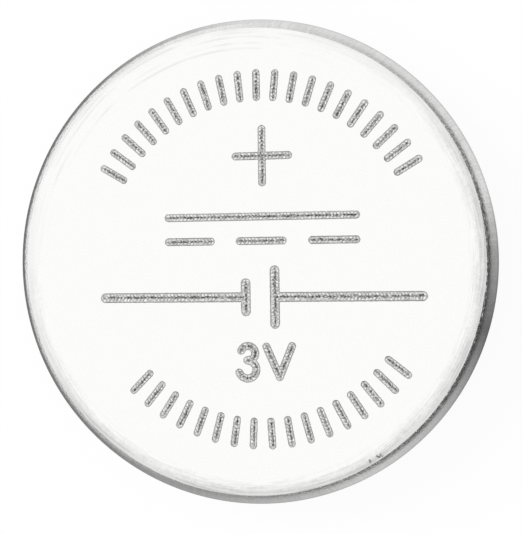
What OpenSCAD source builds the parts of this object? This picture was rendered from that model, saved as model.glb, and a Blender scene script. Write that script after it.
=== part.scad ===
// Lithium coin cell, 12.5 mm across and 2.5 mm high, as an assembly of its real pieces.
// The cell rests on its negative contact face at z = 0, and its positive face looks up at z = cell_h.
// The origin is the centre of the negative contact face, and every piece is turned about Z.
// The sections below are drawn with the radius along X and the height along Y.

/* [Cell] */
// Diameter over the can
cell_d = 12.5; // [11:0.1:16]
// Height from the negative contact face to the positive face
cell_h = 2.5; // [2:0.1:5]

/* [Positive can] */
// Sheet thickness of the can
can_t = 0.25; // [0.2:0.01:0.3]
// Outer radius of the drawn corner round the positive face
corner_r = 0.45; // [0.35:0.05:0.8]
// Outer radius of the crimp where the wall turns in over the seal
crimp_r = 0.6; // [0.4:0.05:0.8]
// Flat run of the crimped lip, from the end of its bend to its cut edge
lip_w = 0.5; // [0.3:0.05:0.6]
// How far the crimped lip stays behind the negative contact face
rim_inset = 0.12; // [0.05:0.01:0.3]

/* [Negative cap] */
// Sheet thickness of the cap
cap_t = 0.22; // [0.15:0.01:0.25]
// Outer radius of the bend round the contact face
step_bend = 0.3; // [0.26:0.02:0.38]
// Radius of the hollow corner between the step and the shoulder
step_fillet = 0.15; // [0.08:0.01:0.24]
// Width of the flat shoulder that the crimp presses on
shoulder_w = 0.72; // [0.6:0.02:1.2]
// Outer radius of the bend from the shoulder into the skirt
skirt_bend = 0.35; // [0.3:0.01:0.5]

/* [Sealing gasket] */
// Gasket between the can wall and the cap skirt
gasket_wall = 0.28; // [0.2:0.02:0.4]
// Gasket squeezed between the crimped lip and the cap shoulder
gasket_lip = 0.18; // [0.12:0.01:0.3]
// Gasket between the end of the skirt and the floor of the can
gasket_base = 0.25; // [0.15:0.01:0.35]
// Thickness of the short leg inside the skirt
leg_t = 0.25; // [0.15:0.01:0.35]
// Length of the short leg inside the skirt, from the floor of the can
leg_h = 0.55; // [0.4:0.05:0.9]
// Width of the bead that shows past the cut edge of the can
bead_w = 0.2; // [0.1:0.02:0.28]
// How far the bead swells up beside the cut edge
bead_rise = 0.1; // [0.05:0.01:0.2]

/* [Inner pieces] */
// Clearance between the lithium disc and the well of the cap
anode_gap = 0.18; // [0.1:0.02:0.5]
// Corner radius on the pressed edge of the lithium disc
anode_round = 0.08; // [0.04:0.01:0.15]
// Thickness of the separator
separator_t = 0.12; // [0.05:0.01:0.2]
// Clearance between the separator and the bend of the cap
separator_gap = 0.07; // [0.02:0.01:0.4]
// Clearance between the cathode pellet and the inner leg of the gasket
pellet_gap = 0.45; // [0.2:0.05:0.8]
// Chamfer on both edges of the pressed pellet
pellet_chamfer = 0.1; // [0.05:0.01:0.2]

/* [Cathode collector] */
// Thickness of the expanded metal
collector_t = 0.1; // [0.06:0.01:0.2]
// How far the collector stays inside the edge of the pellet
collector_inset = 0.8; // [0.4:0.1:1.5]
// Width of the plain rim round the mesh
collector_rim = 0.25; // [0.2:0.05:0.6]
// Long pitch of the diamond openings
mesh_long = 1.2; // [1.1:0.1:2]
// Short pitch of the diamond openings
mesh_short = 0.8; // [0.7:0.1:1.2]
// Width of a strand between two openings
strand_w = 0.16; // [0.1:0.01:0.25]

/* [Hidden] */
$fn = 160;
// Overrun of a cutting shape past the face that it cuts
cut = 1;

// Can, from the outside in
can_r = cell_d / 2;
can_in_r = can_r - can_t;
floor_z = cell_h - can_t;
lip_z = rim_inset + can_t;
lip_edge_r = can_r - crimp_r - lip_w;

// Cap, from the skirt in to the contact face
skirt_r = can_in_r - gasket_wall;
skirt_in_r = skirt_r - cap_t;
skirt_z = floor_z - gasket_base;
shoulder_z = lip_z + gasket_lip;
shoulder_r = skirt_r - skirt_bend;
step_r = shoulder_r - shoulder_w - step_fillet;

// Gasket
leg_r = skirt_in_r - leg_t;
bead_r = lip_edge_r - bead_w;

// Stack between the cap and the floor of the can
anode_r = step_r - cap_t - anode_gap;
separator_z = shoulder_z + cap_t;
separator_r = shoulder_r - separator_gap;
pellet_z = separator_z + separator_t;
pellet_r = leg_r - pellet_gap;
collector_z = floor_z - collector_t;
collector_r = pellet_r - collector_inset;

// Area from the corner at low to the corner at high
module area(low, high) {
    translate(low) square([high.x - low.x, high.y - low.y]);
}

// Quarter of a disc of radius r about c, towards the signs in side
module quarter(c, r, side) {
    intersection() {
        translate(c) circle(r);
        translate(c) mirror([side.x < 0 ? 1 : 0, 0]) mirror([0, side.y < 0 ? 1 : 0]) square(r + cut);
    }
}

// Section from the axis out to r, between two heights, with its outer corners rounded
module turned_block(r, z_low, z_high, round_low = 0, round_high = 0) {
    area([0, z_low + round_low], [r, z_high - round_high]);
    if (round_low > 0) {
        area([0, z_low], [r - round_low, z_low + round_low]);
        quarter([r - round_low, z_low + round_low], round_low, [1, -1]);
    }
    if (round_high > 0) {
        area([0, z_high - round_high], [r - round_high, z_high]);
        quarter([r - round_high, z_high - round_high], round_high, [1, 1]);
    }
}

// Filled section of the can, set in from its outer surface by inset
module can_block(inset) {
    turned_block(can_r - inset, rim_inset + inset, cell_h - inset, crimp_r - inset, corner_r - inset);
}

// Filled section of the cap, set in from its outer surface by inset and open past its skirt
module cap_block(inset) {
    hollow_r = step_fillet + inset;
    wall_r = step_r - inset;
    ledge_z = shoulder_z + inset;
    turned_block(wall_r, inset, ledge_z, step_bend - inset);
    turned_block(skirt_r - inset, ledge_z, skirt_z + inset, skirt_bend - inset);
    difference() {
        area([wall_r, ledge_z - hollow_r], [wall_r + hollow_r, ledge_z]);
        translate([wall_r + hollow_r, ledge_z - hollow_r]) circle(hollow_r);
    }
}

// Drawn steel can: positive face, corner, wall, and the rim crimped in over the gasket
module positive_can() {
    color("silver") rotate_extrude() difference() {
        can_block(0);
        can_block(can_t);
        area([-cut, -cut], [lip_edge_r, lip_z + cut / 2]);
    }
}

// Stepped steel cap: contact face, step, shoulder under the crimp, and skirt
module negative_cap() {
    color("gainsboro") rotate_extrude() difference() {
        cap_block(0);
        cap_block(cap_t);
    }
}

// Moulded ring that fills the space between can and cap, with a leg on both sides of the skirt
module sealing_gasket() {
    color("lightsteelblue") rotate_extrude() {
        difference() {
            can_block(can_t);
            cap_block(0);
            area([-cut, -cut], [bead_r, shoulder_z]);
            area([-cut, shoulder_z], [leg_r, cell_h]);
        }
        area([leg_r, floor_z - leg_h], [skirt_in_r, skirt_z]);
        gasket_bead();
    }
}

// Rounded bead beside the cut edge of the can
module gasket_bead() {
    round_r = bead_w / 2;
    middle = [bead_r + round_r, lip_z - bead_rise + round_r];
    quarter(middle, round_r, [-1, -1]);
    quarter(middle, round_r, [1, -1]);
    area([bead_r, middle.y], [lip_edge_r, shoulder_z]);
}

// Lithium disc pressed into the well of the cap
module lithium_anode() {
    color("lightgray") rotate_extrude()
        turned_block(anode_r, cap_t, separator_z, anode_round, anode_round);
}

// Porous film between lithium and pellet, lying on the lithium and on the shoulder of the cap
module separator() {
    color("white") translate([0, 0, separator_z]) cylinder(r = separator_r, h = separator_t);
}

// Pressed pellet of manganese dioxide, chamfered at both edges
module cathode_pellet() {
    color("dimgray") rotate_extrude() polygon([
        [0, pellet_z], [pellet_r - pellet_chamfer, pellet_z], [pellet_r, pellet_z + pellet_chamfer],
        [pellet_r, collector_z - pellet_chamfer], [pellet_r - pellet_chamfer, collector_z], [0, collector_z]
    ]);
}

// One diamond opening of the expanded metal, narrowed by the strands on its sides
module diamond() {
    half = [mesh_long / 2, mesh_short / 2];
    side_distance = half.x * half.y / norm(half);
    open = half * (1 - strand_w / 2 / side_distance);
    polygon([[open.x, 0], [0, open.y], [-open.x, 0], [0, -open.y]]);
}

// Disc of expanded metal between the pellet and the floor of the can
module cathode_collector() {
    open_r = collector_r - collector_rim;
    columns = ceil(2 * open_r / mesh_long);
    rows = ceil(2 * open_r / mesh_short);
    color("slategray") translate([0, 0, collector_z]) linear_extrude(collector_t) difference() {
        circle(collector_r);
        intersection() {
            circle(open_r);
            for (i = [-columns : columns], j = [-rows : rows]) {
                place = [i * mesh_long / 2, j * mesh_short / 2];
                if ((i + j) % 2 == 0 && norm(place) < open_r) translate(place) diamond();
            }
        }
    }
}

positive_can();
negative_cap();
sealing_gasket();
lithium_anode();
separator();
cathode_pellet();
cathode_collector();
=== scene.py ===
"""Finished model of a lithium coin cell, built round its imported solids.

The size classes hold millimetres in the cell's own frame: the cell rests on z = 0 and its positive
face looks up. Lengths become metres where a mesh, a light or the camera is made.
"""
import logging
import math
from dataclasses import dataclass, field
from enum import Enum
from typing import Any, Sequence

import bmesh
import bpy
import numpy as np
from mathutils import Matrix, Vector


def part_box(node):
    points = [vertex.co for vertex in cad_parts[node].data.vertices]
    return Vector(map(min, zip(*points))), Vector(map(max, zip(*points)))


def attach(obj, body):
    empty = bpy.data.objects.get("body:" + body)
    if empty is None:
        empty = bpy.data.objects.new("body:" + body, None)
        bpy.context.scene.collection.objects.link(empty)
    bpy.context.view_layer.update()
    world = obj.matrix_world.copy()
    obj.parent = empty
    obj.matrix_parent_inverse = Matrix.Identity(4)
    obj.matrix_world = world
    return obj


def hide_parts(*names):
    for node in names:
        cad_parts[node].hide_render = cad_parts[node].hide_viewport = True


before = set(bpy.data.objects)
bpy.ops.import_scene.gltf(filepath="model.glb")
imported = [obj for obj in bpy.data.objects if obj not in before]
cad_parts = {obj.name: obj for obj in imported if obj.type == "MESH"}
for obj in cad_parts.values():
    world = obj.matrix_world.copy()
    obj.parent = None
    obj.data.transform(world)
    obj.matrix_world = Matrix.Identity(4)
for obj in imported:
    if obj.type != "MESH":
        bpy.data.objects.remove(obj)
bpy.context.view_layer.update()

MM = 0.001
IMAGE_WIDTH = 522
IMAGE_HEIGHT = 534
BODY = "root"

Point = tuple[float, float]
Points = tuple[Point, ...]
Direction = tuple[float, float, float]
Colour = tuple[float, float, float]
Piece = bpy.types.Object
FLAT: Direction = (1.0, 1.0, 0.0)
WHITE: Colour = (1.0, 1.0, 1.0)
SAME_POINT = 1e-4
MERGE_METRES = 2e-6
# Points off the face, or far from every stroke, count as this many half widths away.
FAR_SHARE = 9.0
log = logging.getLogger("coin_cell")


def half_width_of(node: str) -> float:
    """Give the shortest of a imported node's four reaches from the axis, in millimetres."""
    low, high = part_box(node)
    return min(-low[0], -low[1], high[0], high[1]) / MM


def height_of(node: str, top: bool) -> float:
    """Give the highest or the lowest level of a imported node, in millimetres."""
    low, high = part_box(node)
    return (high[2] if top else low[2]) / MM


@dataclass
class CellSizes:
    """Sizes of the outer pieces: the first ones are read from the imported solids."""

    can_r: float = field(default_factory=lambda: half_width_of("positive_can"))
    top_z: float = field(default_factory=lambda: height_of("positive_can", True))
    rim_z: float = field(default_factory=lambda: height_of("positive_can", False))
    can_in_r: float = field(default_factory=lambda: half_width_of("sealing_gasket"))
    floor_z: float = field(default_factory=lambda: height_of("sealing_gasket", True))
    skirt_r: float = field(default_factory=lambda: half_width_of("negative_cap"))
    skirt_z: float = field(default_factory=lambda: height_of("negative_cap", True))
    well_z: float = field(default_factory=lambda: height_of("lithium_anode", False))
    ledge_z: float = field(default_factory=lambda: height_of("lithium_anode", True))
    corner_r: float = 0.45
    crimp_r: float = 0.6
    lip_w: float = 0.5
    lip_break: float = 0.03
    step_r: float = 4.5
    step_bend: float = 0.3
    step_fillet: float = 0.15
    skirt_bend: float = 0.35
    leg_t: float = 0.25
    leg_h: float = 0.55
    bead_w: float = 0.2
    bead_rise: float = 0.1

    @property
    def can_t(self) -> float:
        """Sheet thickness of the can."""
        return self.top_z - self.floor_z

    @property
    def cap_t(self) -> float:
        """Sheet thickness of the cap."""
        return self.well_z

    @property
    def lip_z(self) -> float:
        """Level of the crimped lip's inner side."""
        return self.rim_z + self.can_t

    @property
    def lip_edge_r(self) -> float:
        """Radius of the can's cut edge."""
        return self.can_r - self.crimp_r - self.lip_w

    @property
    def shoulder_z(self) -> float:
        """Level of the cap's shoulder, on the gasket's side."""
        return self.ledge_z - self.cap_t


class Outline:
    """Section of a turned piece, as radius and height in millimetres."""

    def __init__(self, start: Point) -> None:
        """Start the outline at a point."""
        self.points: list[Point] = [start]

    def line(self, end: Point, steps: int = 1) -> "Outline":
        """Add a straight run.

        Args:
            end: where the run ends.
            steps: number of equal parts.

        Returns:
            The outline itself.
        """
        start = self.points[-1]
        for i in range(1, steps + 1):
            part = i / steps
            self.points.append((start[0] + (end[0] - start[0]) * part,
                                start[1] + (end[1] - start[1]) * part))
        return self

    def arc(self, centre: Point, radius: float, start_deg: float, end_deg: float, steps: int) -> "Outline":
        """Add an arc, with angles counted from straight up towards larger radii.

        Args:
            centre: centre of the arc.
            radius: radius of the arc.
            start_deg: angle of the arc's first point.
            end_deg: angle of its last point.
            steps: number of chords.

        Returns:
            The outline itself.
        """
        for i in range(steps + 1):
            angle = math.radians(start_deg + (end_deg - start_deg) * i / steps)
            point = (centre[0] + radius * math.sin(angle), centre[1] + radius * math.cos(angle))
            if math.dist(point, self.points[-1]) > SAME_POINT:
                self.points.append(point)
        return self


class Bench:
    """Modelling steps that the pieces share."""

    @staticmethod
    def clear_selection() -> None:
        """Leave edit mode and deselect every object."""
        if bpy.context.object and bpy.context.object.mode != "OBJECT":
            bpy.ops.object.mode_set(mode="OBJECT")
        bpy.ops.object.select_all(action="DESELECT")

    @staticmethod
    def adopt(name: str) -> Piece:
        """Name the new primitive and put its place into its mesh.

        Args:
            name: name of the piece.

        Returns:
            The piece, at the origin.
        """
        piece = bpy.context.active_object
        piece.name = name
        piece.data.name = name
        bpy.ops.object.transform_apply(location=True, rotation=True, scale=True)
        return piece

    @staticmethod
    def turn(name: str, outline: Outline, steps: int) -> Piece:
        """Turn an outline about Z, as on a lathe.

        Args:
            name: name of the piece.
            outline: section of the piece.
            steps: number of segments round the axis.

        Returns:
            The turned piece.
        """
        first = outline.points[0]
        Bench.clear_selection()
        bpy.ops.mesh.primitive_plane_add(size=MM, location=(first[0] * MM, 0, first[1] * MM))
        piece = Bench.adopt(name)
        bpy.ops.object.mode_set(mode="EDIT")
        bpy.ops.mesh.select_mode(type="VERT")
        bpy.ops.mesh.select_all(action="SELECT")
        bpy.ops.mesh.merge(type="CENTER")
        for start, end in zip(outline.points, outline.points[1:]):
            step = ((end[0] - start[0]) * MM, 0, (end[1] - start[1]) * MM)
            bpy.ops.mesh.extrude_vertices_move(TRANSFORM_OT_translate={"value": step})
        bpy.ops.mesh.select_all(action="SELECT")
        bpy.ops.mesh.spin(steps=steps, angle=math.tau, center=(0, 0, 0), axis=(0, 0, 1))
        bpy.ops.mesh.select_all(action="SELECT")
        bpy.ops.mesh.remove_doubles(threshold=MERGE_METRES)
        bpy.ops.mesh.normals_make_consistent(inside=False)
        bpy.ops.object.mode_set(mode="OBJECT")
        return piece

    @staticmethod
    def smooth(piece: Piece, crease_deg: float) -> None:
        """Shade a piece smooth, with creases kept above an angle.

        Args:
            piece: the piece.
            crease_deg: angle from which an edge stays sharp.
        """
        Bench.clear_selection()
        piece.select_set(True)
        bpy.context.view_layer.objects.active = piece
        bpy.ops.object.shade_smooth_by_angle(angle=math.radians(crease_deg))

    @staticmethod
    def ride(piece: Piece, node: str, slot: str) -> None:
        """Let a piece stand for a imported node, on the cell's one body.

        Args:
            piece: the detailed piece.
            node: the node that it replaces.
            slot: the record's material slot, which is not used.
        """
        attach(piece, BODY)
        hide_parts(node)


@dataclass(frozen=True)
class Stroke:
    """One engraved stroke: the path of the tool's centre and half the groove's width."""

    path: Points
    half_width: float


@dataclass
class FaceMarks:
    """Engraved marks of the positive face: polarity, voltage and generic signs."""

    plus_centre: Point = (0.374, 2.693)
    plus_arm: float = 0.68
    plus_half: float = 0.1
    arc_centre: Point = (0.271, 0.062)
    arc_inner: float = 4.12
    arc_outer: float = 4.74
    arc_half: float = 0.093
    top_arc: Point = (149.4, 31.1)
    bottom_arc: Point = (225.0, 322.0)
    arc_pitch: float = 5.9
    current_centre: Point = (0.331, 0.844)
    current_length: float = 4.85
    current_gap: float = 0.62
    current_half: float = 0.1
    dash_share: float = 0.23
    symbol_centre: Point = (0.289, -0.897)
    symbol_length: float = 8.2
    symbol_gap: float = 0.75
    long_plate: float = 1.36
    short_plate: float = 0.72
    symbol_half: float = 0.125
    voltage_half: float = 0.102
    three_top: Point = (-0.049, -2.328)
    three_bottom: Point = (-0.064, -2.738)
    three_top_r: float = 0.19
    three_bottom_r: float = 0.23
    three_top_span: Point = (158, -48)
    three_bottom_span: Point = (62, -160)
    notch_shift: Point = (-0.02, 0.03)
    vee: Points = ((0.43, -2.156), (0.767, -2.925), (1.09, -2.139))

    @staticmethod
    def polar(centre: Point, radius: float, angle_deg: float) -> Point:
        """Give the point at a radius and an angle from +X about a centre."""
        angle = math.radians(angle_deg)
        return centre[0] + radius * math.cos(angle), centre[1] + radius * math.sin(angle)

    def plus_sign(self) -> list[Stroke]:
        """Draw the plus sign.

        Returns:
            Its two strokes.
        """
        x, y = self.plus_centre
        level = ((x - self.plus_arm, y), (x + self.plus_arm, y))
        upright = ((x, y - self.plus_arm), (x, y + self.plus_arm))
        return [Stroke(level, self.plus_half), Stroke(upright, self.plus_half)]

    def scale_arc(self, span: Point) -> list[Stroke]:
        """Draw the radial bars of one arc.

        Args:
            span: first and last angle of the arc, in degrees.

        Returns:
            One stroke a bar.
        """
        count = round(abs(span[1] - span[0]) / self.arc_pitch) + 1
        bars = []
        for angle in np.linspace(span[0], span[1], count):
            ends = (self.polar(self.arc_centre, self.arc_inner, angle),
                    self.polar(self.arc_centre, self.arc_outer, angle))
            bars.append(Stroke(ends, self.arc_half))
        return bars

    def current_sign(self) -> list[Stroke]:
        """Draw the sign of direct current: a long line over three dashes.

        Returns:
            Its four strokes.
        """
        x, y = self.current_centre
        half = self.current_length / 2
        high = y + self.current_gap / 2
        low = y - self.current_gap / 2
        dash = self.current_length * self.dash_share
        strokes = [Stroke(((x - half, high), (x + half, high)), self.current_half)]
        for middle in (x - half + dash / 2, x, x + half - dash / 2):
            strokes.append(Stroke(((middle - dash / 2, low), (middle + dash / 2, low)), self.current_half))
        return strokes

    def cell_symbol(self) -> list[Stroke]:
        """Draw the circuit symbol of a cell: a long and a short plate between two leads.

        Returns:
            Its four strokes.
        """
        x, y = self.symbol_centre
        end = self.symbol_length / 2
        plate = self.symbol_gap / 2
        paths = [
            ((x - end, y), (x - plate, y)),
            ((x + plate, y), (x + end, y)),
            ((x + plate, y - self.long_plate / 2), (x + plate, y + self.long_plate / 2)),
            ((x - plate, y - self.short_plate / 2), (x - plate, y + self.short_plate / 2)),
        ]
        return [Stroke(path, self.symbol_half) for path in paths]

    def voltage_mark(self) -> list[Stroke]:
        """Draw the figure three and the letter for volts.

        Returns:
            One stroke for each.
        """
        level = (self.three_top[1] + self.three_bottom[1]) / 2
        notch = (self.three_top[0] + self.notch_shift[0], level + self.notch_shift[1])
        upper = [self.polar(self.three_top, self.three_top_r, angle)
                 for angle in np.linspace(*self.three_top_span, 12)]
        lower = [self.polar(self.three_bottom, self.three_bottom_r, angle)
                 for angle in np.linspace(*self.three_bottom_span, 14)]
        three = (*upper, notch, *lower)
        return [Stroke(three, self.voltage_half), Stroke(self.vee, self.voltage_half)]

    def strokes(self) -> list[Stroke]:
        """Give every stroke of the face."""
        return [*self.plus_sign(), *self.scale_arc(self.top_arc), *self.scale_arc(self.bottom_arc),
                *self.current_sign(), *self.cell_symbol(), *self.voltage_mark()]


class GrooveField:
    """Distances from points of the face to the engraved strokes."""

    def __init__(self, strokes: Sequence[Stroke]) -> None:
        """Cut the strokes into straight segments.

        Args:
            strokes: every stroke of the face.
        """
        starts, ends, halves, runs = [], [], [], []
        for stroke in strokes:
            run = 0.0
            for a, b in zip(stroke.path, stroke.path[1:]):
                starts.append(a)
                ends.append(b)
                halves.append(stroke.half_width)
                runs.append(run)
                run += math.dist(a, b)
        self.starts = np.array(starts)
        self.ways = np.array(ends) - self.starts
        self.lengths = np.hypot(self.ways[:, 0], self.ways[:, 1])
        self.halves = np.array(halves)
        self.runs = np.array(runs)

    def measure(self, places: np.ndarray) -> tuple[np.ndarray, np.ndarray, np.ndarray]:
        """Measure points against the nearest stroke.

        Args:
            places: x and y of each point, in millimetres.

        Returns:
            The distance from the stroke's middle as a share of its half width, the same with a
            sign for the side, and the way along the stroke in millimetres.
        """
        share = np.full(len(places), FAR_SHARE)
        side = np.zeros(len(places))
        along = np.zeros(len(places))
        for i in range(len(self.starts)):
            offset = places - self.starts[i]
            way = self.ways[i] / self.lengths[i]
            run = np.clip(offset @ way, 0.0, self.lengths[i])
            gap = np.hypot(*(offset - run[:, None] * way).T) / self.halves[i]
            near = gap < share
            share[near] = gap[near]
            side[near] = np.sign(offset[near] @ np.array([-way[1], way[0]])) * gap[near]
            along[near] = self.runs[i] + (offset[near] @ way)
        return share, side, along


@dataclass(frozen=True)
class GrooveCut:
    """Cross-section of an engraved groove, in millimetres, with its peened floor."""

    edge_share: float = 0.82
    vee_share: float = 0.28
    edge_depth: float = 0.024
    slope_depth: float = 0.036
    vee_depth: float = 0.062
    bead_pitch: float = 0.092
    bead_height: float = 0.007
    bead_fade: float = 6.0
    side_phase: float = 0.25
    ripple_share: float = 0.6
    ripple_rates: tuple[Point, Point] = ((61.0, 7.0), (23.0, -11.0))

    def depth(self, share: np.ndarray, side: np.ndarray, along: np.ndarray) -> np.ndarray:
        """Give the depth of the cut below the face.

        Args:
            share: distance from the middle as a share of the half width.
            side: the same with the side's sign.
            along: way along the stroke.

        Returns:
            The depth at each point, zero outside the strokes.
        """
        levels = np.interp(share, [0.0, self.vee_share, self.edge_share, 1.0],
                           [self.vee_depth, self.slope_depth, self.edge_depth, 0.0])
        beads = np.sin(math.tau * (along / self.bead_pitch + self.side_phase * np.sign(side)))
        long_wave, short_wave = (np.sin(rate * along + lean * side) for rate, lean in self.ripple_rates)
        inside = np.clip((self.edge_share - share) * self.bead_fade, 0.0, 1.0)
        rise = inside * self.bead_height * (beads + self.ripple_share * long_wave * short_wave)
        return np.maximum(levels - rise, 0.0)


class Recipe:
    """One procedural node tree, of a material or a world, and short ways to add to it."""

    def __init__(self, owner: bpy.types.Material | bpy.types.World, shader: str) -> None:
        """Start the tree of a new material or world.

        Args:
            owner: the material or world.
            shader: name of its first shader.
        """
        owner.use_nodes = True
        self.owner = owner
        self.tree = owner.node_tree
        self.shader = self.tree.nodes[shader]

    def add(self, kind: str, inputs: dict[Any, Any] | None = None, out: Any = 0, **settings: Any) -> Any:
        """Add one node.

        Args:
            kind: the node's type.
            inputs: values or sockets by the input's name or index.
            out: name or index of the output to give back.
            settings: the node's own settings.

        Returns:
            The output socket.
        """
        node = self.tree.nodes.new(kind)
        for key, value in settings.items():
            setattr(node, key, value)
        for key, value in (inputs or {}).items():
            if isinstance(value, bpy.types.NodeSocket):
                self.tree.links.new(value, node.inputs[key])
            else:
                node.inputs[key].default_value = value
        return node.outputs[out]

    def math(self, operation: str, a: Any, b: Any = 0.0) -> Any:
        """Add a Math node of two inputs and give its result."""
        return self.add("ShaderNodeMath", {0: a, 1: b}, operation=operation)

    def vector(self, operation: str, a: Any, b: Any = (0.0, 0.0, 0.0), out: Any = 0) -> Any:
        """Add a Vector Math node of two inputs and give one of its outputs."""
        return self.add("ShaderNodeVectorMath", {0: a, 1: b}, out, operation=operation)

    def product(self, first: Any, *others: Any) -> Any:
        """Multiply values.

        Args:
            first: the first value.
            others: the values to multiply it by.

        Returns:
            The product.
        """
        for other in others:
            first = self.math("MULTIPLY", first, other)
        return first

    def rest_of(self, share: Any) -> Any:
        """Give what a share leaves of one."""
        return self.math("SUBTRACT", 1.0, share)

    def mix(self, share: Any, first: Any, second: Any) -> Any:
        """Blend two values by the share of the second."""
        return self.add("ShaderNodeMix", {0: share, 2: first, 3: second}, data_type="FLOAT")

    def scaled(self, vector: Any, size: Any) -> Any:
        """Multiply a vector by another, or by a grey level, and give the result."""
        return self.vector("MULTIPLY", vector, size)

    def spread(self, value: Any, low: float, high: float, out_low: float, out_high: float) -> Any:
        """Map a range of values to another, clamped at both ends."""
        return self.add("ShaderNodeMapRange", {0: value, 1: low, 2: high, 3: out_low, 4: out_high})

    def mottle(self, noise: Any, low: float, high: float, reach: float = 0.2) -> Any:
        """Map a noise, as far as its reach on both sides of one half, to a range of values."""
        return self.spread(noise, 0.5 - reach, 0.5 + reach, low, high)

    def ramp(self, value: Any, stops: Sequence[Point]) -> Any:
        """Give a grey ramp over a value.

        Args:
            value: the value, between 0 and 1.
            stops: position and grey level of each stop.

        Returns:
            The ramp's colour.
        """
        colour = self.add("ShaderNodeValToRGB", {0: value})
        elements = colour.node.color_ramp.elements
        while len(elements) < len(stops):
            elements.new(0.5)
        for element, (position, level) in zip(elements, stops):
            element.position = position
            element.color = (level, level, level, 1.0)
        return colour

    def tint(self, colour: Colour, *levels: Any) -> Any:
        """Multiply a colour by grey levels.

        Args:
            colour: the plain colour.
            levels: sockets of values or greys.

        Returns:
            The tinted colour.
        """
        result: Any = colour
        for level in levels:
            result = self.scaled(result, level)
        return result

    def glow(self, level: Any) -> Any:
        """Give an emission shader of a grey level."""
        return self.add("ShaderNodeEmission", {0: self.tint(WHITE, level)})

    def blend(self, share: Any, first: Any, second: Any) -> Any:
        """Blend two shaders by the share of the second."""
        return self.add("ShaderNodeMixShader", {0: share, 1: first, 2: second})

    def connect(self, **sockets: Any) -> bpy.types.Material | bpy.types.World:
        """Link or set the first shader's inputs.

        Args:
            sockets: values or sockets, by the input's name with its spaces as underscores.

        Returns:
            The finished material or world.
        """
        for key, value in sockets.items():
            target = self.shader.inputs[key.replace("_", " ")]
            if isinstance(value, bpy.types.NodeSocket):
                self.tree.links.new(value, target)
            else:
                target.default_value = value
        return self.owner


class SurfaceRecipe(Recipe):
    """Recipe of a material, with the place in millimetres and the distance from the axis at hand."""

    def __init__(self, name: str) -> None:
        """Start a new material.

        Args:
            name: name of the material.
        """
        super().__init__(bpy.data.materials.new(name), "Principled BSDF")
        self.place = self.scaled(self.add("ShaderNodeTexCoord", out="Object"), (1 / MM, 1 / MM, 1 / MM))
        self.flat = self.scaled(self.place, FLAT)
        self.radius = self.vector("LENGTH", self.flat, out="Value")

    def rim_place(self, round_scale: float, rise_scale: float = 0.0) -> Any:
        """Give the direction from the axis and the height, each scaled, for patterns round the rim."""
        ring = self.scaled(self.vector("NORMALIZE", self.flat), (round_scale, round_scale, 0.0))
        return self.vector("ADD", ring, self.scaled(self.place, (0.0, 0.0, rise_scale)))

    def noise(self, scale: float, detail: float = 2.0, place: Any = None) -> Any:
        """Give a noise value about one half, at the place on the piece or at another vector."""
        seat = self.place if place is None else place
        return self.add("ShaderNodeTexNoise", {"Vector": seat, "Scale": scale, "Detail": detail})

    def rim_noise(self, round_scale: float, rise_scale: float = 0.0, detail: float = 2.0) -> Any:
        """Give a noise that is drawn out round or up the rim."""
        return self.noise(1.0, detail, self.rim_place(round_scale, rise_scale))

    def streaks(self, round_scale: float, radial_scale: float) -> Any:
        """Give a noise that is drawn out in rings, as turning and wear leave it."""
        ring = self.add("ShaderNodeCombineXYZ", {2: self.product(self.radius, radial_scale)})
        return self.noise(1.0, 4.0, self.vector("ADD", self.rim_place(round_scale), ring))

    def bump(self, height: Any, distance_mm: float, normal: Any = None) -> Any:
        """Add a bump.

        Args:
            height: the height, as a share of the distance.
            distance_mm: the full height in millimetres.
            normal: the normal to start from.

        Returns:
            The new normal.
        """
        inputs = {"Height": height, "Distance": distance_mm * MM, "Strength": 1.0}
        if normal is not None:
            inputs["Normal"] = normal
        return self.add("ShaderNodeBump", inputs)

    def surface(self, shader: Any) -> bpy.types.Material:
        """Let another shader be the material's surface, and give the material."""
        self.tree.links.new(shader, self.tree.nodes["Material Output"].inputs[0])
        return self.owner


@dataclass(frozen=True)
class Crease:
    """Crease between face and wall, left a little ragged by the drawing tool."""

    radius: float = 5.955
    drop: float = 0.026
    lean_deg: float = 30.0
    inner_reach: Point = (-0.075, -0.015)
    outer_reach: Point = (0.025, 0.145)
    chip_scale: float = 15.0
    chip_height: float = 0.006

    def roughen(self, r: SurfaceRecipe, normal: Any) -> Any:
        """Make the metal ragged about the crease.

        Args:
            r: the recipe.
            normal: the normal to start from.

        Returns:
            The new normal.
        """
        past = r.math("SUBTRACT", r.radius, self.radius)
        inner = r.spread(past, *self.inner_reach, 0.0, 1.0)
        outer = r.spread(past, *self.outer_reach, 1.0, 0.0)
        chips = r.mottle(r.noise(self.chip_scale, 3.0), -1.0, 1.0, 0.3)
        return r.bump(r.product(inner, outer, chips), self.chip_height, normal=normal)


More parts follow.
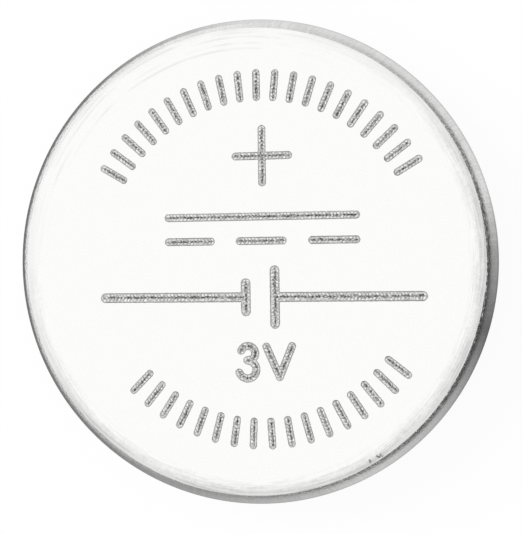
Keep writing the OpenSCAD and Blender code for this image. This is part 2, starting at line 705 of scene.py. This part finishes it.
@dataclass(frozen=True)
class FaceSteel:
    """Satin nickel on the positive face, with engraved strokes and painted shade: along the strokes' edges
    and seams, in a border inside the crease that lifts towards the upper left, and in thin ring lines
    there.
    """

    crease: Crease
    colour: Colour = (0.975, 0.975, 0.97)
    roughness: float = 0.25
    # Painted shade of the border inside the crease, with its streaks and specks.
    border_w: float = 0.2
    border_fade: Point = (-0.05, 0.14)
    border_level: float = 0.77
    tail_w: float = 0.25
    tail_level: float = 0.97
    speckle_sway: float = 0.045
    streak_sway: float = 0.08
    streak_dips: Point = (0.2, -0.05)
    speck_dip: float = 0.07
    # Where the painted border shade lifts: towards the upper left, on the lamp's side.
    upper_left: Direction = (-0.5, 0.87, 0.0)
    bright_span: Point = (-1.5, 4.6)
    bright_share: float = 0.95
    nicks: Points = ((3.033, -5.019), (3.222, -4.897), (3.291, -4.871))
    nick_r: float = 0.055
    nick_core_r: float = 0.022
    nick_level: float = 0.35
    nick_fray: float = 0.03
    # Painted shade of thin turned rings, shown only towards the upper left.
    ring_radii: tuple[float, ...] = (5.44, 5.58, 5.74, 5.85, 5.925)
    ring_half: float = 0.045
    ring_dip: float = 0.14
    ring_sway: float = 0.03
    ring_span: Point = (3.0, 4.8)
    bead_pitch: float = 0.09
    bead_levels: Point = (0.56, 1.08)
    tick_levels: Point = (0.62, 1.0)
    tick_slant: float = 0.07
    floor_span: Point = (0.66, 0.8)
    floor_gloss_loss: float = 0.1
    # Painted shade along each stroke's edges and down its seam.
    edge_fray: float = 0.05
    edge_reach: float = 1.25
    edge_levels: Points = ((0.0, 0.82), (0.54, 0.9), (0.62, 0.56), (0.7, 0.34), (0.77, 0.52), (0.85, 1.0))
    seam_wander: float = 0.34
    seam_gap: float = 0.85
    seam_levels: Points = ((0.0, 0.2), (0.09, 0.3), (0.22, 0.9), (0.34, 1.0))

    def border(self, r: SurfaceRecipe) -> Any:
        """Give the painted shade of the border inside the crease, streaked along the rim.

        Args:
            r: the recipe.

        Returns:
            A grey level of painted shade, which comes near to one towards the upper left, where the light
            falls.
        """
        streak = r.streaks(5.0, 18.0)
        speckle = r.mottle(r.noise(9.0, 3.0), -self.speckle_sway, self.speckle_sway)
        shift = r.math("ADD", speckle, r.mottle(streak, -self.streak_sway, self.streak_sway))
        jittered_r = r.math("ADD", r.radius, shift)
        inner = self.crease.radius - self.border_w
        fade_low, fade_high = self.border_fade
        band = r.spread(jittered_r, inner + fade_low, inner + fade_high, 1.0, self.border_level)
        tail = r.spread(jittered_r, inner - self.tail_w, inner, 1.0, self.tail_level)
        reach = r.spread(jittered_r, inner - self.tail_w, inner, 0.0, 1.0)
        specks = r.spread(r.noise(15.0, 1.0), 0.64, 0.7, 0.0, self.speck_dip)
        dips = r.math("ADD", specks, r.spread(streak, 0.4, 0.56, *self.streak_dips))
        tone = r.product(band, tail, r.rest_of(r.product(reach, dips)))
        # The painted shade lifts towards the upper left, where the key lamp stands.
        way = r.vector("DOT_PRODUCT", r.place, self.upper_left, "Value")
        bright = r.spread(way, *self.bright_span, 0.0, self.bright_share)
        return r.product(r.mix(bright, tone, 1.0), self.rings(r, way))

    def rings(self, r: SurfaceRecipe, way: Any) -> Any:
        """Give the painted shade of thin turned rings inside the crease, only towards the upper left, which
        comes and goes round the rim.

        Args:
            r: the recipe.
            way: how far a place lies towards the upper left.

        Returns:
            A grey level.
        """
        sway = r.mottle(r.rim_noise(1.4), -self.ring_sway, self.ring_sway)
        swayed_r = r.math("ADD", r.radius, sway)
        # The ring lines are painted only on the upper-left side.
        side = r.spread(way, *self.ring_span, 0.0, 1.0)
        tone: Any = 1.0
        for number, ring_r in enumerate(self.ring_radii):
            seat = r.vector("ADD", r.rim_place(4.0), (0.0, 0.0, 3.0 * number))
            dip = r.spread(r.noise(1.0, place=seat), 0.42, 0.6, 0.0, self.ring_dip)
            gap = r.math("ABSOLUTE", r.math("SUBTRACT", swayed_r, ring_r))
            line = r.product(dip, side, r.spread(gap, 0.0, self.ring_half, 1.0, 0.0))
            tone = r.product(tone, r.rest_of(line))
        return tone

    def nick_tone(self, r: SurfaceRecipe) -> Any:
        """Give the tone of the small nicks beside the border.

        Args:
            r: the recipe.

        Returns:
            A grey level.
        """
        fray = r.mottle(r.noise(20.0), -self.nick_fray, self.nick_fray)
        tone: Any = 1.0
        for nick in self.nicks:
            gap = r.math("ADD", r.vector("DISTANCE", r.flat, (*nick, 0.0), "Value"), fray)
            tone = r.product(tone, r.spread(gap, self.nick_core_r, self.nick_r, self.nick_level, 1.0))
        return tone

    def groove(self, r: SurfaceRecipe) -> tuple[Any, Any]:
        """Give the tone of the engraved strokes, with painted shade along their edges and seams and a
        pattern of beads and ticks on their floors, and how far a point lies inside one.

        Args:
            r: the recipe.

        Returns:
            The grey level, and the share of the stroke's own finish.
        """
        share, side, along = (r.add("ShaderNodeAttribute", attribute_name="groove_" + name, out="Fac")
                              for name in ("share", "side", "along"))
        fray = r.mottle(r.noise(18.0), -self.edge_fray, self.edge_fray)
        # Painted shade on the groove's steep edges.
        outline = r.ramp(r.math("DIVIDE", r.math("ADD", share, fray), self.edge_reach), self.edge_levels)
        wander = r.mottle(r.noise(5.5, 3.0), -self.seam_wander, self.seam_wander)
        # Painted shade down the groove's V seam, broken in places.
        seam = r.ramp(r.math("ABSOLUTE", r.math("ADD", side, wander)), self.seam_levels)
        broken = r.mix(r.spread(r.noise(11.0), 0.42, 0.56, 0.0, self.seam_gap), seam, 1.0)
        cells = r.add("ShaderNodeTexVoronoi", {"Vector": r.place, "Scale": 1.0 / self.bead_pitch},
                      feature="DISTANCE_TO_EDGE")
        beads = r.spread(cells, 0.02, 0.2, *self.bead_levels)
        slant = r.math("ADD", along, r.product(r.math("ABSOLUTE", side), self.tick_slant))
        hatch = r.math("SINE", r.product(slant, math.tau / self.bead_pitch))
        ticks = r.spread(hatch, -1.0, 0.1, *self.tick_levels)
        inside = r.spread(share, *self.floor_span, 1.0, 0.0)
        return r.product(r.mix(inside, 1.0, r.product(beads, ticks, broken)), outline), inside

    def make(self) -> bpy.types.Material:
        """Make the material.

        Returns:
            The finished material.
        """
        r = SurfaceRecipe("face_steel")
        grain = r.noise(11.0, 4.0)
        satin = r.mottle(grain, 0.986, 1.0, 0.25)
        stroke, inside = self.groove(r)
        colour = r.tint(self.colour, satin, self.border(r), stroke, self.nick_tone(r))
        rough = r.math("ADD", r.mottle(grain, self.roughness - 0.04, self.roughness + 0.04),
                       r.product(inside, self.floor_gloss_loss))
        return r.connect(Base_Color=colour, Metallic=1.0, Roughness=rough,
                         Normal=self.crease.roughen(r, r.bump(grain, 0.0014)))


@dataclass(frozen=True)
class WallSteel:
    """Drawn steel of the can's wall and crimp, with fine lines along the draw."""

    crease: Crease
    colour: Colour = (0.9, 0.9, 0.895)
    roughness: float = 0.13

    def make(self) -> bpy.types.Material:
        """Make the material.

        Returns:
            The finished material.
        """
        r = SurfaceRecipe("wall_steel")
        lines = r.rim_noise(62.0, 0.35, 3.0)
        fine = r.rim_noise(190.0, 0.8)
        stain = r.rim_noise(9.0, 1.4, 4.0)
        colour = r.tint(self.colour, r.mottle(lines, 0.93, 1.03), r.mottle(fine, 0.95, 1.03),
                        r.mottle(stain, 0.93, 1.0, 0.15), r.mottle(r.noise(19.0, 3.0), 0.9, 1.05))
        rough = r.mottle(lines, self.roughness, self.roughness + 0.08)
        return r.connect(Base_Color=colour, Metallic=1.0, Roughness=rough,
                         Normal=self.crease.roughen(r, r.bump(r.math("ADD", lines, fine), 0.0018)))


@dataclass(frozen=True)
class CapSteel:
    """Satin nickel of the cap: turned lines, short scratches and a contact-polished middle."""

    colour: Colour = (0.88, 0.88, 0.87)
    roughness: float = 0.26
    face_r: float = 4.15
    face_fade: float = 0.1
    scratch_level: float = 0.84

    def make(self) -> bpy.types.Material:
        """Make the material.

        Returns:
            The finished material.
        """
        r = SurfaceRecipe("cap_steel")
        grain = r.noise(12.0, 4.0)
        turned = r.streaks(0.9, 17.0)
        scratch = r.spread(r.noise(1.6, place=r.scaled(r.place, (0.35, 9.0, 1.0))), 0.66, 0.74, 0.0, 1.0)
        drawn = r.mottle(r.rim_noise(26.0, 0.8, 3.0), 0.86, 1.03)
        on_step = r.spread(r.radius, self.face_r, self.face_r + self.face_fade, 0.0, 1.0)
        shade = r.mix(on_step, r.mottle(turned, 0.93, 1.02), drawn)
        satin = r.mottle(grain, 0.95, 1.0, 0.25)
        mark = r.spread(scratch, 0.0, 1.0, 1.0, self.scratch_level)
        relief = r.math("ADD", turned, r.math("SUBTRACT", grain, scratch))
        rough = r.mottle(r.noise(0.9, 3.0), self.roughness - 0.03, self.roughness + 0.08)
        return r.connect(Base_Color=r.tint(self.colour, satin, shade, mark), Metallic=1.0, Roughness=rough,
                         Normal=r.bump(relief, 0.0016))


@dataclass(frozen=True)
class GasketPlastic:
    """Milky moulded plastic of the seal."""

    colour: Colour = (0.6, 0.62, 0.61)
    roughness: float = 0.42
    milkiness: float = 0.3
    milk_reach: float = 0.4

    def make(self) -> bpy.types.Material:
        """Make the material.

        Returns:
            The finished material.
        """
        r = SurfaceRecipe("gasket_polypropylene")
        flow = r.rim_noise(14.0, 3.0, 4.0)
        grain = r.noise(18.0, 3.0)
        colour = r.tint(self.colour, r.mottle(flow, 0.86, 1.06), r.mottle(grain, 0.95, 1.02))
        normal = r.bump(r.math("ADD", flow, grain), 0.004)
        rough = r.mottle(flow, self.roughness - 0.08, self.roughness + 0.1)
        return r.connect(Base_Color=colour, Roughness=rough, Normal=normal,
                         Subsurface_Weight=self.milkiness, Subsurface_Scale=self.milk_reach * MM)


@dataclass(frozen=True)
class InnerFinish:
    """Finish of a sealed inner piece: a grained colour, with its own gloss and relief."""

    name: str
    colour: Colour
    metallic: float
    roughness: float
    grain_scale: float
    contrast: float
    relief_mm: float

    def make(self) -> bpy.types.Material:
        """Make the material.

        Returns:
            The finished material.
        """
        r = SurfaceRecipe(self.name)
        grain = r.noise(self.grain_scale, 5.0)
        colour = r.tint(self.colour, r.mottle(grain, 1.0 - self.contrast, 1.0, 0.25),
                        r.mottle(r.noise(0.8), 0.95, 1.0))
        rough = r.mottle(grain, self.roughness - 0.06, self.roughness + 0.06)
        return r.connect(Base_Color=colour, Metallic=self.metallic, Roughness=rough,
                         Normal=r.bump(grain, self.relief_mm))


class InnerPiece(Enum):
    """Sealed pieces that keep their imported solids, each with its finish."""

    LITHIUM = ("lithium_anode", InnerFinish("lithium_metal", (0.62, 0.62, 0.6), 1.0, 0.5, 5.0, 0.18, 0.006))
    SEPARATOR = ("separator", InnerFinish("separator_felt", (0.88, 0.88, 0.86), 0.0, 0.8, 16.0, 0.12, 0.01))
    PELLET = ("cathode_pellet",
              InnerFinish("pellet_oxide", (0.05, 0.05, 0.052), 0.0, 0.7, 20.0, 0.4, 0.008))
    COLLECTOR = ("cathode_collector",
                 InnerFinish("collector_steel", (0.6, 0.6, 0.6), 1.0, 0.35, 9.0, 0.15, 0.003))

    def dress(self) -> None:
        """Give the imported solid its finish."""
        node, finish = self.value
        material = finish.make()
        slots = bpy.data.objects[node].material_slots
        for slot in slots:
            slot.material = material
        if not slots:
            bpy.data.objects[node].data.materials.append(material)
        log.info("%s: finish %s", node, finish.name)


@dataclass
class PositiveCan:
    """Drawn can with its engraved face, creased shoulder, wall and crimped lip."""

    sizes: CellSizes
    marks: FaceMarks = field(default_factory=FaceMarks)
    cut: GrooveCut = field(default_factory=GrooveCut)
    segments: int = 300
    plate_r: float = 5.12
    ring_r: float = 5.3
    crown_r: float = 5.5
    crown_parts: tuple[float, ...] = (0.3, 0.55, 0.75, 0.9, 1.0)
    crease: Crease = field(default_factory=Crease)
    coarse_step: float = 0.14
    reaches: tuple[float, ...] = (0.14, 0.07, 0.025)
    level_slack: float = 0.001
    wall_slack: float = 0.01

    def outline(self) -> Outline:
        """Draw the can's section.

        Returns:
            The outline from the flat face out, down, under and in to the floor's middle.
        """
        s = self.sizes
        line = Outline((self.ring_r, s.top_z)).line((self.crown_r, s.top_z))
        crown_w = self.crease.radius - self.crown_r
        for part in self.crown_parts:
            line.line((self.crown_r + crown_w * part, s.top_z - self.crease.drop * part ** 2))
        lean = math.radians(self.crease.lean_deg)
        turn_r = (s.can_r - self.crease.radius) / (1 - math.sin(lean))
        turn_z = s.top_z - self.crease.drop - turn_r * math.cos(lean)
        inner_r = s.corner_r - s.can_t
        crimp = (s.can_r - s.crimp_r, s.rim_z + s.crimp_r)
        line.arc((s.can_r - turn_r, turn_z), turn_r, self.crease.lean_deg, 90, 12)
        line.line((s.can_r, crimp[1]), 4).arc(crimp, s.crimp_r, 90, 180, 12)
        line.line((s.lip_edge_r + s.lip_break, s.rim_z), 2)
        line.line((s.lip_edge_r, s.rim_z + s.lip_break)).line((s.lip_edge_r, s.lip_z))
        line.line((crimp[0], s.lip_z)).arc(crimp, s.crimp_r - s.can_t, 180, 90, 6)
        line.line((s.can_in_r, s.floor_z - inner_r))
        line.arc((s.can_in_r - inner_r, s.floor_z - inner_r), inner_r, 90, 0, 5)
        return line.line((0.0, s.floor_z))

    def plate(self, groove: GrooveField) -> Piece:
        """Model the middle of the face as a grid that gets finer towards the strokes.

        Args:
            groove: distances to the strokes.

        Returns:
            The flat plate.
        """
        half = self.plate_r + self.coarse_step
        count = round(2 * half / self.coarse_step)
        Bench.clear_selection()
        bpy.ops.mesh.primitive_grid_add(x_subdivisions=count, y_subdivisions=count, size=2 * half * MM,
                                        location=(0, 0, self.sizes.top_z * MM))
        plate = Bench.adopt("face_plate")
        bpy.ops.object.mode_set(mode="EDIT")
        bpy.ops.mesh.select_mode(type="FACE")
        outside = self.face_centres(plate)
        self.select_faces(plate, np.hypot(outside[:, 0], outside[:, 1]) > self.plate_r)
        bpy.ops.mesh.delete(type="FACE")
        widest = self.marks.symbol_half
        for reach in self.reaches:
            share, _, _ = groove.measure(self.face_centres(plate))
            self.select_faces(plate, share < 1 + reach / widest)
            bpy.ops.mesh.subdivide(number_cuts=1)
        bpy.ops.object.mode_set(mode="OBJECT")
        return plate

    @staticmethod
    def face_centres(piece: Piece) -> np.ndarray:
        """Give x and y of each face's middle in millimetres, in edit mode."""
        cage = bmesh.from_edit_mesh(piece.data)
        return np.array([face.calc_center_median()[:2] for face in cage.faces]) / MM

    @staticmethod
    def select_faces(piece: Piece, chosen: np.ndarray) -> None:
        """Select exactly the chosen faces.

        Args:
            piece: the piece in edit mode.
            chosen: true for each face to select.
        """
        bpy.ops.mesh.select_all(action="DESELECT")
        cage = bmesh.from_edit_mesh(piece.data)
        for face, pick in zip(cage.faces, chosen):
            if pick:
                face.select_set(True)
        bmesh.update_edit_mesh(piece.data)

    def join_face(self, shell: Piece, plate: Piece) -> None:
        """Join the plate into the shell and close the flat ring between them.

        Args:
            shell: the turned shell, open at the face.
            plate: the plate in its middle.
        """
        Bench.clear_selection()
        plate.select_set(True)
        shell.select_set(True)
        bpy.context.view_layer.objects.active = shell
        bpy.ops.object.join()
        bpy.ops.object.mode_set(mode="EDIT")
        bpy.ops.mesh.select_mode(type="EDGE")
        bpy.ops.mesh.select_all(action="DESELECT")
        bpy.ops.mesh.select_non_manifold(extend=False, use_wire=False, use_boundary=True,
                                         use_multi_face=False, use_non_contiguous=False, use_verts=False)
        bpy.ops.mesh.fill(use_beauty=True)
        bpy.ops.mesh.select_all(action="SELECT")
        bpy.ops.mesh.normals_make_consistent(inside=False)
        bpy.ops.object.mode_set(mode="OBJECT")

    def engrave(self, shell: Piece, groove: GrooveField) -> None:
        """Sink the strokes into the face and store where each point lies in its groove.

        Args:
            shell: the closed shell.
            groove: distances to the strokes.
        """
        mesh = shell.data
        places = np.empty(len(mesh.vertices) * 3, dtype=np.float32)
        mesh.vertices.foreach_get("co", places)
        places = places.reshape(-1, 3).astype(float) / MM
        level = np.abs(places[:, 2] - self.sizes.top_z) < self.level_slack
        on_face = level & (np.hypot(*places[:, :2].T) < self.ring_r)
        share, side, along = groove.measure(places[:, :2])
        share[~on_face] = FAR_SHARE
        places[:, 2] -= np.where(share < 1.0, self.cut.depth(share, side, along), 0.0)
        mesh.vertices.foreach_set("co", (places * MM).astype(np.float32).ravel())
        stored = {"share": np.minimum(share, 2.0), "side": np.clip(side, -2, 2), "along": along}
        for name, values in stored.items():
            attribute = mesh.attributes.new("groove_" + name, "FLOAT", "POINT")
            attribute.data.foreach_set("value", values.astype(np.float32))
        mesh.update()

    def dress(self, shell: Piece) -> None:
        """Give the face and the wall their finishes.

        Args:
            shell: the engraved shell.
        """
        for finish in (FaceSteel(self.crease), WallSteel(self.crease)):
            shell.data.materials.append(finish.make())
        crease_z = self.sizes.top_z - self.crease.drop - 2 * self.level_slack
        wall_r = self.crease.radius - self.wall_slack
        inside_z = self.sizes.floor_z + self.wall_slack
        wall = []
        for face in shell.data.polygons:
            x, y, z = (part / MM for part in face.center)
            wall.append(z < inside_z or z < crease_z and math.hypot(x, y) > wall_r)
        shell.data.polygons.foreach_set("material_index", np.array(wall, dtype=np.int32))

    def build(self) -> Piece:
        """Model, engrave and dress the can.

        Returns:
            The can.
        """
        groove = GrooveField(self.marks.strokes())
        shell = Bench.turn("positive_can_shell", self.outline(), self.segments)
        self.join_face(shell, self.plate(groove))
        self.engrave(shell, groove)
        self.dress(shell)
        Bench.smooth(shell, 19.0)
        Bench.ride(shell, "positive_can", "can_steel")
        return shell


@dataclass
class NegativeCap:
    """Stepped cap under the cell, with its contact face, shoulder and skirt."""

    sizes: CellSizes
    segments: int = 256

    def outline(self) -> Outline:
        """Draw the cap's section.

        Returns:
            The outline from the middle of the contact face round to the middle inside.
        """
        s = self.sizes
        bend = (s.step_r - s.step_bend, s.step_bend)
        hollow = (s.step_r + s.step_fillet, s.shoulder_z - s.step_fillet)
        skirt = (s.skirt_r - s.skirt_bend, s.shoulder_z + s.skirt_bend)
        line = Outline((0.0, 0.0)).line((bend[0], 0.0), 6).arc(bend, s.step_bend, 180, 90, 10)
        line.arc(hollow, s.step_fillet, -90, 0, 6).line((skirt[0], s.shoulder_z), 3)
        line.arc(skirt, s.skirt_bend, 180, 90, 8).line((s.skirt_r, s.skirt_z))
        line.line((s.skirt_r - s.cap_t, s.skirt_z)).line((s.skirt_r - s.cap_t, skirt[1]))
        line.arc(skirt, s.skirt_bend - s.cap_t, 90, 180, 4)
        line.arc(hollow, s.step_fillet + s.cap_t, 0, -90, 6)
        return line.arc(bend, s.step_bend - s.cap_t, 90, 180, 4).line((0.0, s.well_z))

    def build(self) -> Piece:
        """Model and dress the cap.

        Returns:
            The cap.
        """
        cap = Bench.turn("negative_cap_shell", self.outline(), self.segments)
        cap.data.materials.append(CapSteel().make())
        Bench.smooth(cap, 30.0)
        Bench.ride(cap, "negative_cap", "cap_steel")
        return cap


@dataclass
class SealingGasket:
    """Moulded seal between can and cap, which shows as a bead beside the can's cut edge."""

    sizes: CellSizes
    segments: int = 256

    def outline(self) -> Outline:
        """Draw the gasket's closed section.

        Returns:
            The outline from the cut edge of the can round both skirts.
        """
        s = self.sizes
        bead_r = s.bead_w / 2
        bead = (s.lip_edge_r - bead_r, s.lip_z - s.bead_rise + bead_r)
        skirt = (s.skirt_r - s.skirt_bend, s.shoulder_z + s.skirt_bend)
        crimp = (s.can_r - s.crimp_r, s.rim_z + s.crimp_r)
        corner = s.corner_r - s.can_t
        skirt_in = s.skirt_r - s.cap_t
        line = Outline((s.lip_edge_r, bead[1])).arc(bead, bead_r, 90, 270, 12)
        line.line((bead[0] - bead_r, s.shoulder_z)).line((skirt[0], s.shoulder_z))
        line.arc(skirt, s.skirt_bend, 180, 90, 8).line((s.skirt_r, s.skirt_z)).line((skirt_in, s.skirt_z))
        line.line((skirt_in, s.floor_z - s.leg_h)).line((skirt_in - s.leg_t, s.floor_z - s.leg_h))
        line.line((skirt_in - s.leg_t, s.floor_z)).line((s.can_in_r - corner, s.floor_z))
        line.arc((s.can_in_r - corner, s.floor_z - corner), corner, 0, 90, 5)
        line.arc(crimp, s.crimp_r - s.can_t, 90, 180, 6)
        return line.line((s.lip_edge_r, bead[1]))

    def build(self) -> Piece:
        """Model and dress the gasket.

        Returns:
            The gasket.
        """
        gasket = Bench.turn("sealing_gasket_ring", self.outline(), self.segments)
        gasket.data.materials.append(GasketPlastic().make())
        Bench.smooth(gasket, 30.0)
        Bench.ride(gasket, "sealing_gasket", "gasket_polypropylene")
        return gasket


@dataclass
class Studio:
    """Floor, lights and camera."""

    sizes: CellSizes
    distance: float = 32.0
    tilt_deg: float = 11.28
    turn_deg: float = 1.0
    roll_deg: float = -0.75
    pixels_per_mm: float = 39.31
    face_pixel: Point = (248.6, 262.0)
    sensor: float = 24.0
    cap_side_r: float = 4.35
    opening_r: float = 5.6
    floor_r: float = 800.0
    # The card is a glowing ring that only the metal mirrors: a painted reflection of dark surroundings,
    # fading over its haze.
    card_gap: float = 0.65
    card_low: float = 2.3
    card_top: float = 3.12
    haze: float = 0.45
    # Painted shade in the floor's glow that only the metal mirrors: dark near the rim and lighter further
    # out, a painted contact shadow at the rim, and a plain level under the crimp.
    dark_reach: float = 8.0
    light_reach: float = 13.0
    contact_w: float = 2.2
    contact_level: float = 0.5
    under_span: Point = (-0.3, -0.1)
    under_level: float = 0.8
    # Painted contact shadow in the floor's own colour, from dark under the rim to the paper's white.
    painted_shadow_w: float = 0.6
    paper_and_shadow_levels: Point = (0.22, 0.95)
    white_w: float = 0.25
    camera_white: float = 0.9
    fill_strength: float = 0.92
    lamp_size: float = 120.0
    lamp_power: float = 0.09
    lamp_place: Direction = (-110.0, 60.0, 120.0)
    # Levels of painted shade round the cell by azimuth, near and far, for the floor's glow and the card.
    near_shade_levels: Points = (
        (-180, 0.19), (-135, 0.26), (-105, 0.44), (-62, 0.7), (-42, 0.5), (-18, 0.17), (2, 0.42),
        (18, 0.82), (95, 0.84), (135, 0.24), (180, 0.19))
    far_shade_levels: Points = (
        (-180, 0.98), (-150, 0.55), (-120, 0.36), (-90, 0.48), (-62, 0.64), (-42, 0.48), (-18, 0.16),
        (2, 0.4), (18, 0.82), (75, 0.78), (100, 1.0), (180, 0.98))
    # Levels of the card's painted reflection by azimuth.
    card_glow_levels: Points = (
        (-180, 1.0), (-145, 0.9), (-110, 0.34), (-80, 0.21), (-45, 0.06), (-15, 0.05), (12, 0.02),
        (32, 0.17), (60, 0.58), (95, 0.95), (180, 1.0))

    @staticmethod
    def round_level(r: SurfaceRecipe, levels: Points) -> Any:
        """Give a grey level by the direction from the cell.

        Args:
            r: the recipe.
            levels: azimuth in degrees and level of each stop.

        Returns:
            The level.
        """
        parts = r.add("ShaderNodeSeparateXYZ", {0: r.place}).node.outputs
        azimuth = r.math("ARCTAN2", parts["Y"], parts["X"])
        turn = r.spread(azimuth, -math.pi, math.pi, 0.0, 1.0)
        return r.ramp(turn, [(0.5 + degrees / 360, level) for degrees, level in levels])

    def floor(self) -> None:
        """Lay the pale floor: nearly white for the camera, with painted shade round the cell in a glow that
        only the metal mirrors, and a painted contact shadow in its colour under the rim.

        It is clear from below, so that the cell's other side can be looked at. Light also comes up
        through its opening, where only the camera sees the inner ring.
        """
        r = SurfaceRecipe("floor_paper")
        path = r.add("ShaderNodeLightPath").node.outputs
        past = r.math("SUBTRACT", r.radius, self.sizes.can_r)
        # Painted shade for the glossy rays: levels by azimuth, darker near the rim, with a painted contact
        # shadow and a plain level under the crimp.
        level = r.mix(r.spread(past, self.dark_reach, self.light_reach, 0.0, 1.0),
                      self.round_level(r, self.near_shade_levels), self.round_level(r, self.far_shade_levels))
        contact = r.spread(past, 0.0, self.contact_w, self.contact_level, 1.0)
        under = r.spread(past, *self.under_span, self.under_level, 0.0)
        mirrored = r.glow(r.math("MAXIMUM", r.product(level, contact), under))
        # Painted contact shadow: the paper darkens towards and under the rim.
        paper_with_shadow = r.spread(past, -self.painted_shadow_w, 0.0, *self.paper_and_shadow_levels)
        r.connect(Base_Color=r.tint(WHITE, paper_with_shadow), Roughness=0.9, Specular_IOR_Level=0.0)
        white_share = r.spread(past, -self.white_w, 0.0, 0.0, self.camera_white)
        white = r.add("ShaderNodeEmission")
        seen = r.blend(r.product(path["Is Camera Ray"], white_share), r.shader.outputs[0], white)
        # Only glossy rays see this glow of painted shade.
        upper = r.blend(path["Is Glossy Ray"], seen, mirrored)
        below = r.add("ShaderNodeNewGeometry", out="Backfacing")
        material = r.surface(r.blend(below, upper, r.add("ShaderNodeBsdfTransparent")))
        self.lay_ring("studio_floor", self.opening_r, self.floor_r, material)
        inner = self.lay_ring("studio_floor_inner", self.cap_side_r, self.opening_r, material)
        self.hide_from(inner, ("diffuse", "glossy", "transmission", "shadow"))

    @staticmethod
    def lay_ring(name: str, low_r: float, high_r: float, material: bpy.types.Material) -> Piece:
        """Lay one flat ring of the floor, facing up.

        Args:
            name: name of the ring.
            low_r: inner radius in millimetres.
            high_r: outer radius in millimetres.
            material: the floor's material.

        Returns:
            The ring.
        """
        ring = Bench.turn(name, Outline((low_r, 0.0)).line((high_r, 0.0)), 128)
        if ring.data.polygons[0].normal.z < 0:
            ring.data.flip_normals()
        ring.data.materials.append(material)
        return ring

    @staticmethod
    def hide_from(piece: Piece, rays: Sequence[str]) -> None:
        """Hide a piece of the studio from some kinds of rays."""
        for ray in rays:
            setattr(piece, "visible_" + ray, False)

    def card(self) -> None:
        """Stand a low card close round the rim, which only mirrors see: the photo's dark line."""
        card_r = self.sizes.can_r + self.card_gap
        line = Outline((card_r, self.card_low)).line((card_r, self.card_top))
        card = Bench.turn("studio_card", line, 128)
        r = SurfaceRecipe("card_felt")
        height = r.add("ShaderNodeSeparateXYZ", {0: r.place}, out="Z")
        # The card's glow is a painted reflection: the far floor's levels at its foot, blending into its own
        # darker levels above.
        level = r.mix(r.spread(height, self.card_low, self.card_low + self.haze, 0.0, 1.0),
                      self.round_level(r, self.far_shade_levels), self.round_level(r, self.card_glow_levels))
        card.data.materials.append(r.surface(r.glow(level)))
        self.hide_from(card, ("camera", "diffuse", "shadow", "transmission"))

    def lights(self) -> None:
        """Set the white surroundings and one soft key lamp from the upper left."""
        r = Recipe(bpy.data.worlds.new("studio_world"), "Background")
        path = r.add("ShaderNodeLightPath").node.outputs
        mirrored = r.math("MAXIMUM", path["Is Glossy Ray"], path["Is Transmission Ray"])
        seen = r.math("MAXIMUM", path["Is Camera Ray"], mirrored)
        strength = r.spread(seen, 0.0, 1.0, self.fill_strength, 1.0)
        bpy.context.scene.world = r.connect(Color=(*WHITE, 1.0), Strength=strength)
        lamp = bpy.data.lights.new("key_lamp", "AREA")
        lamp.shape = "DISK"
        lamp.size = self.lamp_size * MM
        lamp.energy = self.lamp_power
        key = bpy.data.objects.new("key_lamp", lamp)
        bpy.context.scene.collection.objects.link(key)
        key.visible_glossy = False
        key.location = Vector(self.lamp_place) * MM
        key.rotation_euler = (-key.location).to_track_quat("-Z", "Y").to_euler()

    def camera(self) -> None:
        """Place the camera over the cell as in the photo."""
        tilt, turn, roll = map(math.radians, (self.tilt_deg, self.turn_deg, self.roll_deg))
        back = Vector((math.sin(tilt) * math.cos(turn), math.sin(tilt) * math.sin(turn), math.cos(tilt)))
        up = (Vector((0, 1, 0)) - back * back.y).normalized()
        right = up.cross(back)
        level = right * math.cos(roll) + up * math.sin(roll)
        upright = up * math.cos(roll) - right * math.sin(roll)
        data = bpy.data.cameras.new("camera")
        data.sensor_fit = "VERTICAL"
        data.sensor_height = self.sensor
        data.sensor_width = self.sensor * IMAGE_WIDTH / IMAGE_HEIGHT
        data.lens = self.pixels_per_mm * self.distance * self.sensor / IMAGE_HEIGHT
        data.shift_x = (IMAGE_WIDTH / 2 - self.face_pixel[0]) / IMAGE_HEIGHT
        data.shift_y = (self.face_pixel[1] - IMAGE_HEIGHT / 2) / IMAGE_HEIGHT
        data.clip_start = MM
        camera = bpy.data.objects.new("camera", data)
        bpy.context.scene.collection.objects.link(camera)
        place = Vector((0, 0, self.sizes.top_z * MM)) + back * self.distance * MM
        turned = Matrix((level, upright, back)).transposed().to_4x4()
        camera.matrix_world = Matrix.Translation(place) @ turned
        bpy.context.scene.camera = camera

    def build(self) -> None:
        """Set up the whole studio."""
        self.camera()
        self.floor()
        self.card()
        self.lights()
        bpy.context.scene.view_settings.view_transform = "Standard"


def main() -> None:
    """Build the studio and the cell."""
    logging.basicConfig(level=logging.INFO, format="%(message)s")
    sizes = CellSizes()
    Studio(sizes).build()
    for maker in (PositiveCan(sizes), NegativeCap(sizes), SealingGasket(sizes)):
        piece = maker.build()
        log.info("%s: %d faces", piece.name, len(piece.data.polygons))
    for inner in InnerPiece:
        inner.dress()


if __name__ == "__main__":
    main()
